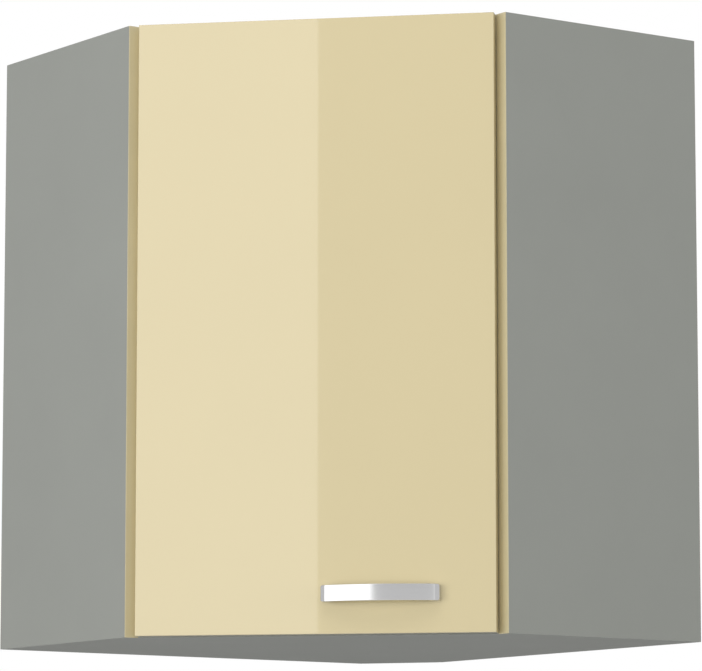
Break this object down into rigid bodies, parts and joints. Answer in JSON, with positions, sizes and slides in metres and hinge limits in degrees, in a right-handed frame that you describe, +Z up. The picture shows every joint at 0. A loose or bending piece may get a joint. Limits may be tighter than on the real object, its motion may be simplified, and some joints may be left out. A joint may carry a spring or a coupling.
{
  "type": "diagonal corner wall cabinet",
  "caption": "Diagonal corner wall cabinet with grey carcass, cream high-gloss door on concealed hinges, bow handle, inner shelves and adjustable hangers.",
  "frame": {"origin": "middle of the square footprint's box, at the underside", "axes": "+Z up; the walls are the planes x = -0.3 m and y = 0.3 m; the door faces +X and -Y"},
  "size_m": [0.6, 0.6, 0.72],
  "materials": {
    "grey_board": "matt melamine-faced board",
    "grey_band": "matt edge band",
    "cream_band": "satin edge band",
    "cream_door": "high-gloss faced board",
    "hardboard": "painted hardboard",
    "chrome": "polished",
    "nickel": "nickel plated, satin",
    "bright_steel": "zinc plated",
    "zinc": "die cast, satin",
    "beech": "raw wood",
    "soft_bumper": "clear soft bumper",
    "white_plastic": "satin"
  },
  "bodies": {
    "carcass": {"left_side_panel": "grey_board", "right_side_panel": "grey_board", "bottom_panel": "grey_board", "top_panel": "grey_board", "lower_shelf": "grey_board", "upper_shelf": "grey_board", "corner_board": "grey_board", "left_back_sheet": "hardboard", "right_back_sheet": "hardboard", "side_edge_bands": "cream_band", "top_bottom_edge_bands": "grey_band", "shelf_edge_bands": "grey_band", "shelf_pins": "bright_steel", "cam_locks": "zinc", "cam_bolts": "bright_steel", "wooden_dowels": "beech", "back_sheet_nails": "bright_steel", "corner_board_screws": "bright_steel", "lower_hinge_plate": "nickel", "lower_hinge_arm": "nickel", "upper_hinge_plate": "nickel", "upper_hinge_arm": "nickel", "hinge_arm_pins": "bright_steel", "hinge_plate_screws": "bright_steel", "hinge_arm_screws": "bright_steel", "left_hanger_housing": "white_plastic", "right_hanger_housing": "white_plastic", "hanger_adjusting_screws": "bright_steel", "hanger_fixing_screws": "bright_steel"},
    "upper_hinge_link": {"upper_hinge_link": "nickel"},
    "lower_hinge_link": {"lower_hinge_link": "nickel"},
    "door": {"door_panel": "cream_door", "handle_bar": "chrome", "handle_screws": "bright_steel", "door_bumpers": "soft_bumper", "lower_hinge_cup": "nickel", "upper_hinge_cup": "nickel", "hinge_cup_pins": "bright_steel", "hinge_cup_screws": "bright_steel"},
    "left_hanger_carriage": {"left_hanger_carriage": "zinc"},
    "right_hanger_carriage": {"right_hanger_carriage": "zinc"},
    "left_hanger_hook": {"left_hanger_hook": "zinc"},
    "right_hanger_hook": {"right_hanger_hook": "zinc"}
  },
  "joints": [
    {"name": "upper_link_swing", "type": "hinge", "parent": "carcass", "child": "upper_hinge_link", "pos_m": [-0.0675, -0.2755, 0.62], "axis": [0, 0, -1], "range_deg": [0, 25]},
    {"name": "lower_link_swing", "type": "hinge", "parent": "carcass", "child": "lower_hinge_link", "pos_m": [-0.0675, -0.2755, 0.1], "axis": [0, 0, -1], "range_deg": [0, 25]},
    {"name": "door_swing", "type": "hinge", "parent": "upper_hinge_link", "child": "door", "pos_m": [-0.00284, -0.28462, 0.62], "axis": [0, 0, -1], "range_deg": [0, 75]},
    {"name": "left_hook_reach", "type": "slide", "parent": "carcass", "child": "left_hanger_carriage", "axis": [-1, 0, 0], "range_m": [0, 0.012]},
    {"name": "left_hook_height", "type": "slide", "parent": "left_hanger_carriage", "child": "left_hanger_hook", "axis": [0, 0, 1], "range_m": [-0.005, 0.005]},
    {"name": "right_hook_reach", "type": "slide", "parent": "carcass", "child": "right_hanger_carriage", "axis": [0, 1, 0], "range_m": [0, 0.012]},
    {"name": "right_hook_height", "type": "slide", "parent": "right_hanger_carriage", "child": "right_hanger_hook", "axis": [0, 0, 1], "range_m": [-0.005, 0.005]}
  ],
  "couplings": [
    {"joint": "upper_link_swing", "follows": "door_swing", "ratio": 0.33333},
    {"joint": "lower_link_swing", "follows": "door_swing", "ratio": 0.33333}
  ]
}
